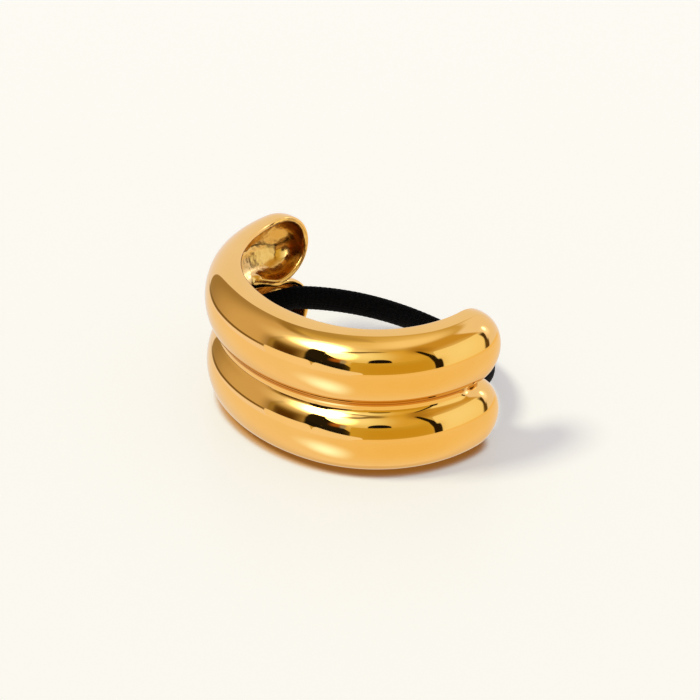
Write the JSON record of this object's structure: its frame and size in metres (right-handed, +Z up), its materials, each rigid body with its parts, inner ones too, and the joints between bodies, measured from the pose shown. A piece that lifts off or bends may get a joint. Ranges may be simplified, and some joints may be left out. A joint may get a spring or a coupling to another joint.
{
  "type": "ponytail cuff",
  "caption": "Gold C-shaped ponytail cuff with a stacked double-dome profile, hollow behind, closed at the back by a black elastic hair band.",
  "frame": {"origin": "on the surface that the cuff stands on, under the middle of its bounding box", "axes": "+Z up along the cuff's own axis, which the ponytail passes along; -Y toward the domed front; +Y toward the open side and the elastic; +X to the wearer's view right when the front faces the viewer"},
  "size_m": [0.0528, 0.045, 0.0242],
  "materials": {
    "gold": "gold-plated, mirror polished outside, cast texture inside",
    "elastic": "black knitted cover over rubber"
  },
  "bodies": {
    "root": {"cuff_shell": "gold", "elastic_band": "elastic"}
  },
  "joints": []
}
